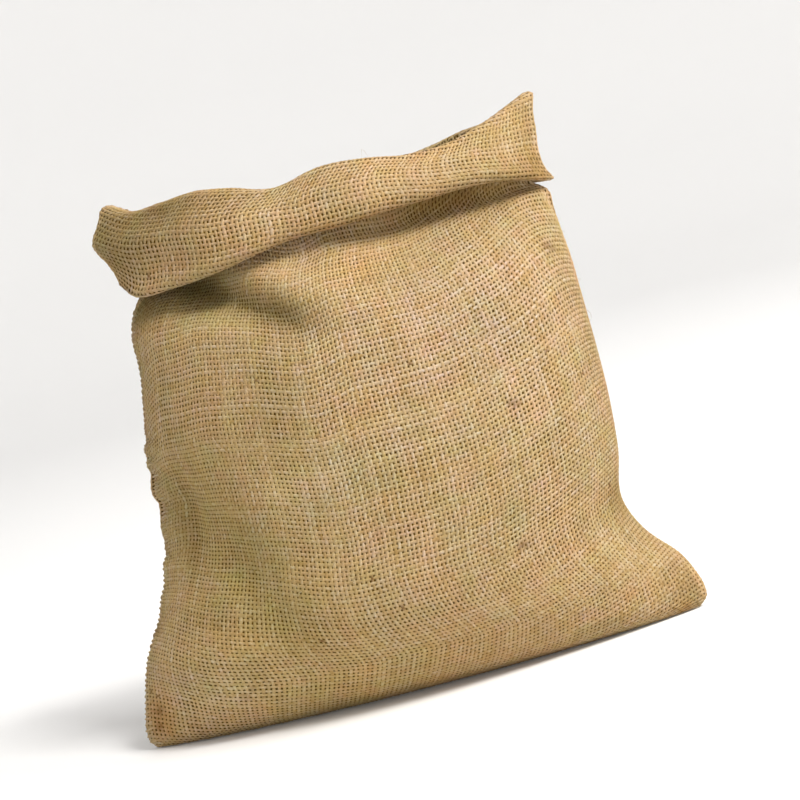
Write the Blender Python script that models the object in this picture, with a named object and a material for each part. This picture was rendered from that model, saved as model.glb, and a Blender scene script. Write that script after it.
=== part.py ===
"""An open burlap bag standing on its base, with its mouth rolled outward into a cuff.

The bag is one sheet of cloth. Each level of it is a closed row of points, spaced evenly along the
cloth: the front panel from the left side to the right, then the back panel from the right side to
the left. The rows climb from the bottom seam across the flat base, up the filled-out walls and the
gathered neck, over the rim, down the outside of the cuff and round its hem. +Y is the bag's back,
+X its right side, and the base lies on z = 0.
"""

from collections import namedtuple

import bmesh
import bpy
import numpy as np

MM = 0.001

# Driving dimensions, in metres.
CLOTH_THICKNESS = 1.6 * MM
CLOTH_LENGTH = 372 * MM  # from the bottom seam to the cut edge inside the cuff
TURN_IN = (0.25, 0.75)  # least and most of the cuff's height that the cut edge reaches inside it
RIM_RADIUS = 2.6 * MM  # bend of the cloth's middle over the rim
TURN_IN_OFF = 4.0 * MM  # how far the cloth turned up inside the cuff stands off the neck
TIP_GAIN = 1.5  # how far a layer's pointed end stands out for each unit at its middle
FOLD_GROWTH = (3 * MM, 20 * MM)  # the wall's folds grow in between these heights
MOUTH_GROWTH = (232 * MM, 248 * MM)  # and give way to the mouth's folds between these

# How finely the sheet is divided.
PANEL_COLUMNS = 32  # faces across each panel
BASE_ROWS = 3  # rows of faces from the bottom seam to the foot of the wall
WALL_HEIGHTS = np.array([0.8, 4, 10, 18, 30, 46, 66, 90, 116, 142, 166, 186, 201, 212, 220, 227]) * MM
NECK_ROWS = 3
CUFF_ROWS = 4
BEND_ROWS = 4  # round the rim, and again round the hem
TURN_IN_ROWS = 2
DENSE = 161  # points that trace a row before it is divided evenly
MERGE = 0.001 * MM  # points nearer than this are one point
FLAT_REACH = 0.3 * MM  # outside points lower than this belong to the flat base

# Level sections of the cloth's middle, in millimetres: the height, the two ends, how far the front
# and back panels stand from the line between them, and how pointed each end is (0.5 is an
# ellipse's end and 1 a sharp lens's).
Section = namedtuple("Section", "height left right front back left_point right_point")
SECTIONS = [
    Section(0.8, -147.5, 147.5, 24.0, 23.0, 0.74, 0.78),
    Section(4.0, -150.0, 151.2, 32.0, 30.0, 0.76, 0.80),
    Section(10.0, -150.6, 152.0, 41.0, 38.0, 0.80, 0.82),
    Section(20.0, -148.4, 149.0, 50.0, 46.5, 0.80, 0.82),
    Section(30.0, -145.6, 144.0, 57.0, 53.0, 0.77, 0.77),
    Section(46.0, -139.8, 129.8, 65.0, 60.5, 0.68, 0.66),
    Section(64.0, -130.2, 121.2, 69.5, 64.5, 0.66, 0.59),
    Section(94.0, -118.2, 125.2, 71.5, 66.0, 0.70, 0.54),
    Section(121.0, -113.9, 127.0, 72.0, 66.5, 0.74, 0.52),
    Section(148.0, -113.2, 127.0, 71.0, 65.5, 0.72, 0.52),
    Section(175.0, -107.4, 126.2, 66.5, 61.5, 0.67, 0.54),
    Section(195.0, -103.8, 125.6, 59.0, 56.0, 0.65, 0.57),
    Section(213.0, -103.2, 124.0, 48.0, 47.5, 0.68, 0.62),
    Section(228.0, -97.2, 123.2, 35.5, 36.5, 0.70, 0.70),
    Section(232.0, -94.2, 123.6, 32.8, 34.2, 0.70, 0.72),
    Section(236.0, -91.0, 117.6, 31.0, 32.5, 0.70, 0.74),
    Section(243.0, -90.4, 113.2, 29.3, 31.0, 0.70, 0.79),
    Section(251.0, -93.4, 112.4, 28.5, 30.0, 0.70, 0.83),
    Section(263.0, -100.4, 114.8, 29.0, 30.0, 0.70, 0.88),
    Section(273.0, -96.5, 116.8, 29.5, 30.0, 0.72, 0.91),
    Section(283.0, -94.6, 120.8, 30.0, 30.0, 0.74, 0.92),
]

# The cuff along each panel, in millimetres: the place across the bag, the heights of the rim and
# of the lower edge, and how far the lower edge stands off the neck.
Cuff = namedtuple("Cuff", "across rim hem stand_off")
CUFFS = {
    "front": [
        Cuff(-101.0, 280.6, 238.0, 8.6),
        Cuff(-92.0, 275.5, 232.5, 10.5),
        Cuff(-70.0, 275.0, 232.0, 13.5),
        Cuff(-50.0, 276.0, 234.0, 14.5),
        Cuff(-34.0, 273.5, 237.0, 13.5),
        Cuff(-8.0, 267.8, 241.0, 12.0),
        Cuff(14.0, 272.2, 241.2, 12.0),
        Cuff(40.0, 270.8, 242.6, 14.5),
        Cuff(62.0, 267.3, 243.3, 16.0),
        Cuff(84.0, 267.6, 243.8, 15.5),
        Cuff(108.0, 274.4, 241.4, 11.5),
        Cuff(127.0, 283.0, 236.2, 7.4),
    ],
    "back": [
        Cuff(-101.0, 280.6, 238.0, 8.6),
        Cuff(-80.0, 270.5, 236.5, 12.0),
        Cuff(-45.0, 266.0, 234.5, 14.0),
        Cuff(-5.0, 263.5, 235.5, 13.0),
        Cuff(35.0, 264.5, 236.5, 14.0),
        Cuff(78.0, 268.8, 237.0, 13.5),
        Cuff(93.0, 271.8, 237.3, 12.5),
        Cuff(106.0, 273.2, 237.5, 11.0),
        Cuff(127.0, 283.0, 236.2, 7.4),
    ],
}

# Soft troughs and ridges, in millimetres: the panel, the middle of the fold, its half length and
# half width, its lean from upright in degrees towards the right, and its rise off the cloth, which
# is negative for a trough. The wall's folds end at the neck and the mouth's run over the cuff.
Fold = namedtuple("Fold", "panel across height half_length half_width lean rise")
WALL_FOLDS = [
    Fold("front", -68.0, 230.0, 22.0, 11.0, -60.0, -14.5),
    Fold("front", -42.0, 213.0, 24.0, 8.0, -56.0, -7.0),
    Fold("front", -20.0, 222.0, 30.0, 10.0, -58.0, 6.0),
    Fold("front", 8.0, 233.0, 20.0, 8.0, -84.0, 3.0),
    Fold("front", 60.0, 239.0, 15.0, 38.0, 2.0, -7.0),
    Fold("front", 100.0, 236.0, 12.0, 20.0, 4.0, -5.0),
    Fold("front", -81.0, 88.0, 54.0, 17.0, -25.0, -6.5),
    Fold("front", -104.0, 28.0, 28.0, 15.0, -60.0, 4.0),
    Fold("front", -50.0, 152.0, 46.0, 12.0, 74.0, -1.4),
    Fold("front", -34.0, 122.0, 40.0, 9.0, 80.0, 1.2),
    Fold("front", 36.0, 172.0, 44.0, 11.0, 66.0, -1.0),
    Fold("back", -40.0, 228.0, 26.0, 16.0, 10.0, -6.0),
    Fold("back", 12.0, 220.0, 24.0, 16.0, -6.0, 2.5),
    Fold("back", 62.0, 226.0, 26.0, 18.0, -14.0, -7.0),
    Fold("back", 70.0, 92.0, 50.0, 18.0, 22.0, -4.0),
]
MOUTH_FOLDS = [
    Fold("front", -78.0, 262.0, 60.0, 16.0, 0.0, -2.5),
    Fold("front", -42.0, 262.0, 60.0, 24.0, 0.0, 1.5),
    Fold("front", -6.0, 262.0, 60.0, 22.0, 0.0, -1.5),
    Fold("front", 28.0, 262.0, 60.0, 24.0, 0.0, 1.2),
    Fold("front", 66.0, 262.0, 60.0, 30.0, 0.0, -1.5),
    Fold("back", -52.0, 262.0, 60.0, 16.0, 0.0, -4.0),
    Fold("back", -12.0, 262.0, 60.0, 16.0, 0.0, 3.0),
    Fold("back", 34.0, 262.0, 60.0, 16.0, 0.0, -4.0),
    Fold("back", 74.0, 262.0, 60.0, 16.0, 0.0, 3.0),
]

BURLAP_COLOUR = (0.44, 0.30, 0.15, 1.0)
BURLAP_ROUGHNESS = 0.95

# One level of the cloth: how far across the footprint it lies, as a share, how far it stands off
# the neck, and its height.
Level = namedtuple("Level", "spread out height")


def curve(places, values, at):
    """A smooth curve through (places, values), read at each place in at."""
    slopes = np.gradient(values, places)
    index = np.clip(np.searchsorted(places, at) - 1, 0, len(places) - 2)
    step = places[index + 1] - places[index]
    part = np.clip((at - places[index]) / step, 0.0, 1.0)
    rest = 1.0 - part
    through = values[index] * (1 + 2 * part) * rest**2 + values[index + 1] * (1 + 2 * rest) * part**2
    return through + step * part * rest * (slopes[index] * rest - slopes[index + 1] * part)


def read(table, place, name, at, unit=MM):
    """The named column of a table, read smoothly along its place column."""
    places = np.array([getattr(row, place) for row in table]) * MM
    values = np.array([getattr(row, name) for row in table]) * unit
    return curve(places, values, at)


def growth(limits, at):
    """0 below the first limit, 1 above the second and smooth between them."""
    part = np.clip((at - limits[0]) / (limits[1] - limits[0]), 0.0, 1.0)
    return part * part * (3 - 2 * part)


def panel_line(panel, share, level):
    """One level's points along a panel. The share runs from -1 at the left end to 1 at the right."""
    left = read(SECTIONS, "height", "left", level.height) - TIP_GAIN * level.out
    right = read(SECTIONS, "height", "right", level.height) + TIP_GAIN * level.out
    depth = read(SECTIONS, "height", panel, level.height) + level.out
    left_point = read(SECTIONS, "height", "left_point", level.height, 1.0)
    right_point = read(SECTIONS, "height", "right_point", level.height, 1.0)
    point = np.where(share < 0, left_point, right_point)
    x = (left + right) / 2 + share * (right - left) / 2
    y = level.spread * depth * (1 - share**2) ** point
    return np.column_stack([x, -y if panel == "front" else y, level.height])


def path_length(lines):
    """The length of cloth that each point has climbed by the last of these lines."""
    return sum(np.linalg.norm(above - below, axis=1) for below, above in zip(lines, lines[1:]))


def panel_levels(panel, share):
    """Every level of a panel, from the bottom seam to the cloth's cut edge inside the cuff."""
    cuff = CUFFS[panel]
    ends = cuff[0].across * MM, cuff[-1].across * MM
    across = ends[0] + (ends[1] - ends[0]) * (share + 1) / 2
    none = np.zeros_like(share)
    stand_off = read(cuff, "across", "stand_off", across)
    hem_radius = (stand_off - TURN_IN_OFF) / 2
    top = read(cuff, "across", "rim", across) - RIM_RADIUS
    low = read(cuff, "across", "hem", across) + hem_radius
    turns = np.linspace(0, np.pi, BEND_ROWS + 1)[1:]
    levels = [Level(part / BASE_ROWS, none, none + WALL_HEIGHTS[0]) for part in range(BASE_ROWS)]
    levels += [Level(1.0, none, none + height) for height in WALL_HEIGHTS]
    for part in np.linspace(0, 1, NECK_ROWS + 1)[1:]:
        levels.append(Level(1.0, none, WALL_HEIGHTS[-1] + (top - WALL_HEIGHTS[-1]) * part))
    for turn in turns:
        out = none + RIM_RADIUS * (1 - np.cos(turn))
        levels.append(Level(1.0, out, top + RIM_RADIUS * np.sin(turn)))
    for part in np.linspace(0, 1, CUFF_ROWS + 1)[1:]:
        out = 2 * RIM_RADIUS + (stand_off - 2 * RIM_RADIUS) * np.sin(part * np.pi / 2)
        levels.append(Level(1.0, out, top + (low - top) * part))
    for turn in turns:
        out = stand_off - hem_radius * (1 - np.cos(turn))
        levels.append(Level(1.0, out, low - hem_radius * np.sin(turn)))
    climbed = path_length([panel_line(panel, share, level) for level in levels])
    turn_in = np.clip(CLOTH_LENGTH - climbed, TURN_IN[0] * (top - low), TURN_IN[1] * (top - low))
    for part in np.linspace(0, 1, TURN_IN_ROWS + 1)[1:]:
        levels.append(Level(1.0, none + TURN_IN_OFF, low + turn_in * part))
    return levels


def spaced_evenly(points):
    """The same line divided into PANEL_COLUMNS equal lengths of cloth."""
    steps = np.linalg.norm(np.diff(points, axis=0), axis=1)
    travelled = np.concatenate([[0.0], np.cumsum(steps)])
    stations = np.linspace(0.0, travelled[-1], PANEL_COLUMNS + 1)
    return np.column_stack([np.interp(stations, travelled, axis) for axis in points.T])


def fold_rise(folds, panel, points):
    """How far the folds of one panel lift the cloth at each point."""
    rise = np.zeros(points.shape[:-1])
    for fold in folds:
        if fold.panel != panel:
            continue
        lean = np.radians(fold.lean)
        across = points[..., 0] - fold.across * MM
        height = points[..., 2] - fold.height * MM
        along = height * np.cos(lean) + across * np.sin(lean)
        beside = across * np.cos(lean) - height * np.sin(lean)
        reach = (along / (fold.half_length * MM)) ** 2 + (beside / (fold.half_width * MM)) ** 2
        rise += fold.rise * MM * np.exp(-reach)
    return rise


def outward(rows):
    """The level direction that points out of the bag, at each point of the closed rows."""
    along = np.roll(rows, -1, axis=1) - np.roll(rows, 1, axis=1)
    away = np.stack([along[..., 1], -along[..., 0]], axis=-1)
    return away / np.maximum(np.linalg.norm(away, axis=-1, keepdims=True), MERGE)


def cloth_rows():
    """The middle of the cloth as closed rows of points, with its folds, centred on the origin."""
    share = -np.cos(np.linspace(0, np.pi, DENSE))
    panels = {}
    for panel in ("front", "back"):
        lines = [panel_line(panel, share, level) for level in panel_levels(panel, share)]
        panels[panel] = np.array([spaced_evenly(line) for line in lines])
    rows = np.concatenate([panels["front"][:, :-1], panels["back"][:, :0:-1]], axis=1)
    rise = np.zeros(rows.shape[:2])
    for panel, span in (("front", slice(0, PANEL_COLUMNS)), ("back", slice(PANEL_COLUMNS, None))):
        points = rows[:, span]
        mouth = growth(MOUTH_GROWTH, points[..., 2])
        mouth[-(BEND_ROWS + CUFF_ROWS + BEND_ROWS + TURN_IN_ROWS):] = 1.0
        wall = growth(FOLD_GROWTH, points[..., 2]) * (1 - mouth)
        rise[:, span] = wall * fold_rise(WALL_FOLDS, panel, points)
        rise[:, span] += mouth * fold_rise(MOUTH_FOLDS, panel, points)
    rows[..., :2] += outward(rows) * rise[..., None]
    level = rows[..., :2].reshape(-1, 2)
    rows[..., :2] -= (level.min(axis=0) + level.max(axis=0)) / 2
    return rows


def add_sheet(name, rows):
    """The cloth's middle as an object: a sack of faces, closed along its bottom seam."""
    shell = bmesh.new()
    grid = [[shell.verts.new(point) for point in row] for row in rows]
    for lower, upper in zip(grid, grid[1:]):
        for index in range(len(lower)):
            beside = (index + 1) % len(lower)
            shell.faces.new((lower[index], lower[beside], upper[beside], upper[index]))
    bmesh.ops.remove_doubles(shell, verts=shell.verts, dist=MERGE)
    mesh = bpy.data.meshes.new(name)
    shell.to_mesh(mesh)
    shell.free()
    sheet = bpy.data.objects.new(name, mesh)
    bpy.context.collection.objects.link(sheet)
    return sheet


def thicken(sheet):
    """Give the sheet its thickness, half to each side, and lay its underside flat on z = 0."""
    solidify = sheet.modifiers.new("thickness", "SOLIDIFY")
    solidify.thickness = CLOTH_THICKNESS
    solidify.offset = 0.0
    solidify.use_even_offset = True
    solidify.use_quality_normals = True
    bpy.context.view_layer.objects.active = sheet
    bpy.ops.object.modifier_apply(modifier=solidify.name)
    for vertex in sheet.data.vertices:
        if vertex.co.z < FLAT_REACH:
            vertex.co.z = 0.0


def burlap():
    """The cloth's material."""
    material = bpy.data.materials.new("burlap")
    material.use_nodes = True
    surface = material.node_tree.nodes["Principled BSDF"]
    surface.inputs["Base Color"].default_value = BURLAP_COLOUR
    surface.inputs["Roughness"].default_value = BURLAP_ROUGHNESS
    surface.inputs["Metallic"].default_value = 0.0
    return material


def main():
    """Remove what the scene holds and build the bag."""
    for item in list(bpy.data.objects):
        bpy.data.objects.remove(item)
    bag = add_sheet("bag_cloth", cloth_rows())
    thicken(bag)
    bag.data.materials.append(burlap())
    bag.data.shade_smooth()


main()
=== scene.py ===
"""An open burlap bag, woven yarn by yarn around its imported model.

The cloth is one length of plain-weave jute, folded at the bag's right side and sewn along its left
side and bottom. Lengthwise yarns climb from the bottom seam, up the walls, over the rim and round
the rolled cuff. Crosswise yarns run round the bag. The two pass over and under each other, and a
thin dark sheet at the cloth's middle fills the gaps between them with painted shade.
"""

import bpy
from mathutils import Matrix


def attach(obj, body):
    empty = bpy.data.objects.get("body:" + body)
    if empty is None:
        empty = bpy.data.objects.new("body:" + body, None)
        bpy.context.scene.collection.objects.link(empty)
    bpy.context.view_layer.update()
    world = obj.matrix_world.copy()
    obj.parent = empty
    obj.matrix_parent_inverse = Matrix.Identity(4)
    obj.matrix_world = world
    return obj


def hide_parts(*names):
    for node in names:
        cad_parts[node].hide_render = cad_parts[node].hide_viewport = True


bl_info = {
    "name": "Burlap Bag",
    "version": (1, 0, 0),
    "blender": (4, 5, 0),
    "location": "3D View > Sidebar > Burlap Bag",
    "description": "Weaves, sews and lights an open burlap bag with its mouth rolled into a cuff",
    "category": "Add Mesh",
}

from collections import namedtuple

import bpy
import numpy as np
from mathutils import Matrix, Vector

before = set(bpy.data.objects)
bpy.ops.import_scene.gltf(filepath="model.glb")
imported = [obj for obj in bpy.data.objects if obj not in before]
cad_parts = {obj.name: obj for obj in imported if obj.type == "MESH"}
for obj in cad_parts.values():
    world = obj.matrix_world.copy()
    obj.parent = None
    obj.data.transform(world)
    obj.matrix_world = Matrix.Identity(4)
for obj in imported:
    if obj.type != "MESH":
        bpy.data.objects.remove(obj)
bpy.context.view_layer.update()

MM = 0.001
TINY = 1e-9  # the least length that anything is divided by

# Driving dimensions of the cloth, in metres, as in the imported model.
CLOTH_FLAT = (600 * MM, 370 * MM)  # round the bag, and from the bottom seam to the cut edge
CLOTH_LENGTH = 372 * MM  # from the bottom seam to the cut edge, over the folds
TURN_IN = (0.25, 0.75)  # least and most of the cuff's height that the cut edge reaches inside it
RIM_RADIUS = 2.6 * MM  # bend of the cloth's middle over the rim
TURN_IN_OFF = 4.0 * MM  # how far the cloth turned up inside the cuff stands off the neck
TIP_GAIN = 1.5  # how far a layer's pointed end stands out for each unit at its middle
FOLD_GROWTH = (3 * MM, 20 * MM)  # the wall's folds grow in between these heights
MOUTH_GROWTH = (232 * MM, 248 * MM)  # and give way to the mouth's folds between these
FOOT = 0.8 * MM  # height of the cloth's middle where it lies on the floor
WALL_TOP = 225 * MM  # height of the wall's top row
WALL_OPENING = 1.3  # the wall's rows lie closer low down, by this power

# How finely the cloth is followed before the yarns are laid on it. The last five are the rows where
# its neck, its rim's bend, its cuff and its hem's bend begin, and the number of rows in all.
BASE_ROWS = 8
WALL_ROWS = 64
NECK_ROWS = 14
CUFF_ROWS = 14
BEND_ROWS = 10  # round the rim, and again round the hem
TURN_IN_ROWS = 8
DENSE = 241  # points that trace a row before it is divided evenly
NECK = BASE_ROWS + WALL_ROWS
RIM = NECK + NECK_ROWS
CUFF = RIM + BEND_ROWS
HEM = CUFF + CUFF_ROWS
CUT = HEM + BEND_ROWS + TURN_IN_ROWS

# Level sections of the cloth's middle, in millimetres: the height, the two ends, how far the front
# and back panels stand from the line between them, and how pointed each end is (0.5 is an
# ellipse's end and 1 a sharp lens's).
Section = namedtuple("Section", "height left right front back left_point right_point")
SECTIONS = [
    Section(0.8, -147.5, 147.5, 24.0, 23.0, 0.74, 0.78),
    Section(4.0, -150.0, 151.2, 32.0, 30.0, 0.76, 0.80),
    Section(10.0, -150.6, 152.0, 41.0, 38.0, 0.80, 0.82),
    Section(20.0, -148.4, 149.0, 50.0, 46.5, 0.80, 0.82),
    Section(30.0, -145.6, 144.0, 57.0, 53.0, 0.77, 0.77),
    Section(46.0, -139.8, 129.8, 65.0, 60.5, 0.68, 0.66),
    Section(64.0, -130.2, 121.2, 69.5, 64.5, 0.66, 0.59),
    Section(94.0, -118.2, 125.2, 71.5, 66.0, 0.70, 0.54),
    Section(121.0, -113.9, 127.0, 72.0, 66.5, 0.74, 0.52),
    Section(148.0, -113.2, 127.0, 71.0, 65.5, 0.72, 0.52),
    Section(175.0, -107.4, 126.2, 66.5, 61.5, 0.67, 0.54),
    Section(195.0, -103.8, 125.6, 59.0, 56.0, 0.65, 0.57),
    Section(213.0, -103.2, 124.0, 48.0, 47.5, 0.68, 0.62),
    Section(228.0, -97.2, 123.2, 35.5, 36.5, 0.70, 0.70),
    Section(232.0, -94.2, 123.6, 32.8, 34.2, 0.70, 0.72),
    Section(236.0, -91.0, 117.6, 31.0, 32.5, 0.70, 0.74),
    Section(243.0, -90.4, 113.2, 29.3, 31.0, 0.70, 0.79),
    Section(251.0, -93.4, 112.4, 28.5, 30.0, 0.70, 0.83),
    Section(263.0, -100.4, 114.8, 29.0, 30.0, 0.70, 0.88),
    Section(273.0, -96.5, 116.8, 29.5, 30.0, 0.72, 0.91),
    Section(283.0, -94.6, 120.8, 30.0, 30.0, 0.74, 0.92),
]

# The cuff along each panel, in millimetres: the place across the bag, the heights of the rim and
# of the lower edge, and how far the lower edge stands off the neck.
Cuff = namedtuple("Cuff", "across rim hem stand_off")
CUFFS = {
    "front": [
        Cuff(-101.0, 280.6, 238.0, 8.6),
        Cuff(-92.0, 275.5, 232.5, 10.5),
        Cuff(-70.0, 275.0, 232.0, 13.5),
        Cuff(-50.0, 276.0, 234.0, 14.5),
        Cuff(-34.0, 273.5, 237.0, 13.5),
        Cuff(-8.0, 267.8, 241.0, 12.0),
        Cuff(14.0, 272.2, 241.2, 12.0),
        Cuff(40.0, 270.8, 242.6, 14.5),
        Cuff(62.0, 267.3, 243.3, 16.0),
        Cuff(84.0, 267.6, 243.8, 15.5),
        Cuff(108.0, 274.4, 241.4, 11.5),
        Cuff(127.0, 283.0, 236.2, 7.4),
    ],
    "back": [
        Cuff(-101.0, 280.6, 238.0, 8.6),
        Cuff(-80.0, 270.5, 236.5, 12.0),
        Cuff(-45.0, 266.0, 234.5, 14.0),
        Cuff(-5.0, 263.5, 235.5, 13.0),
        Cuff(35.0, 264.5, 236.5, 14.0),
        Cuff(78.0, 268.8, 237.0, 13.5),
        Cuff(93.0, 271.8, 237.3, 12.5),
        Cuff(106.0, 273.2, 237.5, 11.0),
        Cuff(127.0, 283.0, 236.2, 7.4),
    ],
}

# Soft troughs and ridges, in millimetres: the panel, the middle of the fold, its half length and
# half width, its lean from upright in degrees towards the right, and its rise off the cloth, which
# is negative for a trough. The wall's folds end at the neck and the mouth's run over the cuff.
Fold = namedtuple("Fold", "panel across height half_length half_width lean rise")
WALL_FOLDS = [
    Fold("front", -68.0, 230.0, 22.0, 11.0, -60.0, -14.5),
    Fold("front", -42.0, 213.0, 24.0, 8.0, -56.0, -7.0),
    Fold("front", -20.0, 222.0, 30.0, 10.0, -58.0, 6.0),
    Fold("front", 8.0, 233.0, 20.0, 8.0, -84.0, 3.0),
    Fold("front", 60.0, 239.0, 15.0, 38.0, 2.0, -7.0),
    Fold("front", 100.0, 236.0, 12.0, 20.0, 4.0, -5.0),
    Fold("front", -81.0, 88.0, 54.0, 17.0, -25.0, -6.5),
    Fold("front", -104.0, 28.0, 28.0, 15.0, -60.0, 4.0),
    Fold("front", -50.0, 152.0, 46.0, 12.0, 74.0, -1.4),
    Fold("front", -34.0, 122.0, 40.0, 9.0, 80.0, 1.2),
    Fold("front", 36.0, 172.0, 44.0, 11.0, 66.0, -1.0),
    Fold("back", -40.0, 228.0, 26.0, 16.0, 10.0, -6.0),
    Fold("back", 12.0, 220.0, 24.0, 16.0, -6.0, 2.5),
    Fold("back", 62.0, 226.0, 26.0, 18.0, -14.0, -7.0),
    Fold("back", 70.0, 92.0, 50.0, 18.0, 22.0, -4.0),
]
MOUTH_FOLDS = [
    Fold("front", -78.0, 262.0, 60.0, 16.0, 0.0, -2.5),
    Fold("front", -42.0, 262.0, 60.0, 24.0, 0.0, 1.5),
    Fold("front", -6.0, 262.0, 60.0, 22.0, 0.0, -1.5),
    Fold("front", 28.0, 262.0, 60.0, 24.0, 0.0, 1.2),
    Fold("front", 66.0, 262.0, 60.0, 30.0, 0.0, -1.5),
    Fold("back", -52.0, 262.0, 60.0, 16.0, 0.0, -4.0),
    Fold("back", -12.0, 262.0, 60.0, 16.0, 0.0, 3.0),
    Fold("back", 34.0, 262.0, 60.0, 16.0, 0.0, -4.0),
    Fold("back", 74.0, 262.0, 60.0, 16.0, 0.0, 3.0),
]

# How far the yarns lie off an even grid, in millimetres, at these rows of the cloth: at the side
# seam, a quarter, a half and three quarters of the way across each panel, and at the folded side.
Slip = namedtuple("Slip", "row seam left middle right fold")
NO_SLIP = [Slip(0, 0.0, 0.0, 0.0, 0.0, 0.0)]

# How much lower the crosswise yarns lie. Above the base they droop towards the side seam, and over
# the rim and the cuff they rise towards the folded side.
LOWERED = [
    Slip(0, 0.0, 0.0, 0.0, 0.0, 0.0),
    Slip(20, 2.0, 1.0, 0.0, 0.0, 0.0),
    Slip(32, 10.0, 6.0, 0.0, 0.0, 1.0),
    Slip(56, 35.0, 18.0, 0.0, 0.0, 5.0),
    Slip(NECK + 4, 37.0, 18.0, -1.0, -2.0, 1.0),
    Slip(RIM, 44.0, 16.0, -6.0, -9.0, -15.0),
    Slip(HEM + 5, 40.0, 15.0, -6.0, -9.0, -15.0),
    Slip(CUT, 6.0, 3.0, 0.0, 0.0, 0.0),
]

# How far the lengthwise yarns lie to the right in front, and to the left behind. They bow one way
# low down and the other way further up. Over the cuff they lie wider apart in front, and they fan
# out to its hem.
SHIFTED = [
    Slip(0, 0.0, 0.0, 0.0, 0.0, 0.0),
    Slip(BASE_ROWS, 0.0, 0.0, 0.0, 0.0, 0.0),
    Slip(20, 0.0, 10.0, 13.0, 6.0, 0.0),
    Slip(42, 0.0, -2.0, -6.0, -6.0, 0.0),
    Slip(56, 0.0, -4.0, -9.0, -9.0, -2.0),
    Slip(NECK, 0.0, -5.0, -12.0, -14.0, -5.0),
    Slip(RIM, -18.0, -9.0, 0.0, 9.0, 18.0),
    Slip(HEM, -52.0, -33.0, -18.0, -2.0, 21.0),
    Slip(CUT, -52.0, -33.0, -18.0, -2.0, 21.0),
]

# Where the sewing draws the side seam in, in millimetres: the height, the reach up and down, the
# reach in from the edge and the depth, which is negative where the edge stands out.
Pucker = namedtuple("Pucker", "height reach inward depth")
SIDE_PUCKERS = [
    Pucker(157.5, 2.4, 8.0, 0.8),
    Pucker(153.0, 2.6, 9.0, -1.5),
    Pucker(148.2, 2.0, 9.0, 1.1),
    Pucker(144.4, 2.2, 9.0, -1.2),
    Pucker(140.8, 2.2, 10.0, 1.0),
    Pucker(131.0, 5.6, 10.0, -1.7),
    Pucker(123.6, 2.2, 12.0, 1.9),
    Pucker(112.0, 4.0, 7.0, -0.7),
    Pucker(104.0, 2.6, 8.0, 0.7),
    Pucker(97.4, 2.2, 9.0, 1.2),
    Pucker(93.0, 2.6, 8.0, -1.0),
    Pucker(83.0, 3.0, 7.0, 0.8),
    Pucker(66.0, 3.4, 8.0, 0.9),
]

# Small creases beside the side seam and under the cuff, written as the folds are.
CREASES = [
    Fold("front", -99.5, 116.0, 27.0, 6.0, 6.0, -3.0),
    Fold("front", -107.0, 138.0, 10.0, 4.2, 66.0, -1.0),
    Fold("front", -106.0, 125.0, 10.0, 4.2, 74.0, -1.2),
    Fold("front", -108.0, 103.0, 10.0, 4.4, 70.0, -0.8),
    Fold("front", -46.0, 214.0, 14.0, 4.2, -56.0, -1.2),
    Fold("front", -22.0, 202.0, 12.0, 4.0, -50.0, -0.9),
    Fold("back", -88.0, 132.0, 30.0, 7.0, -4.0, -2.0),
]
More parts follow.
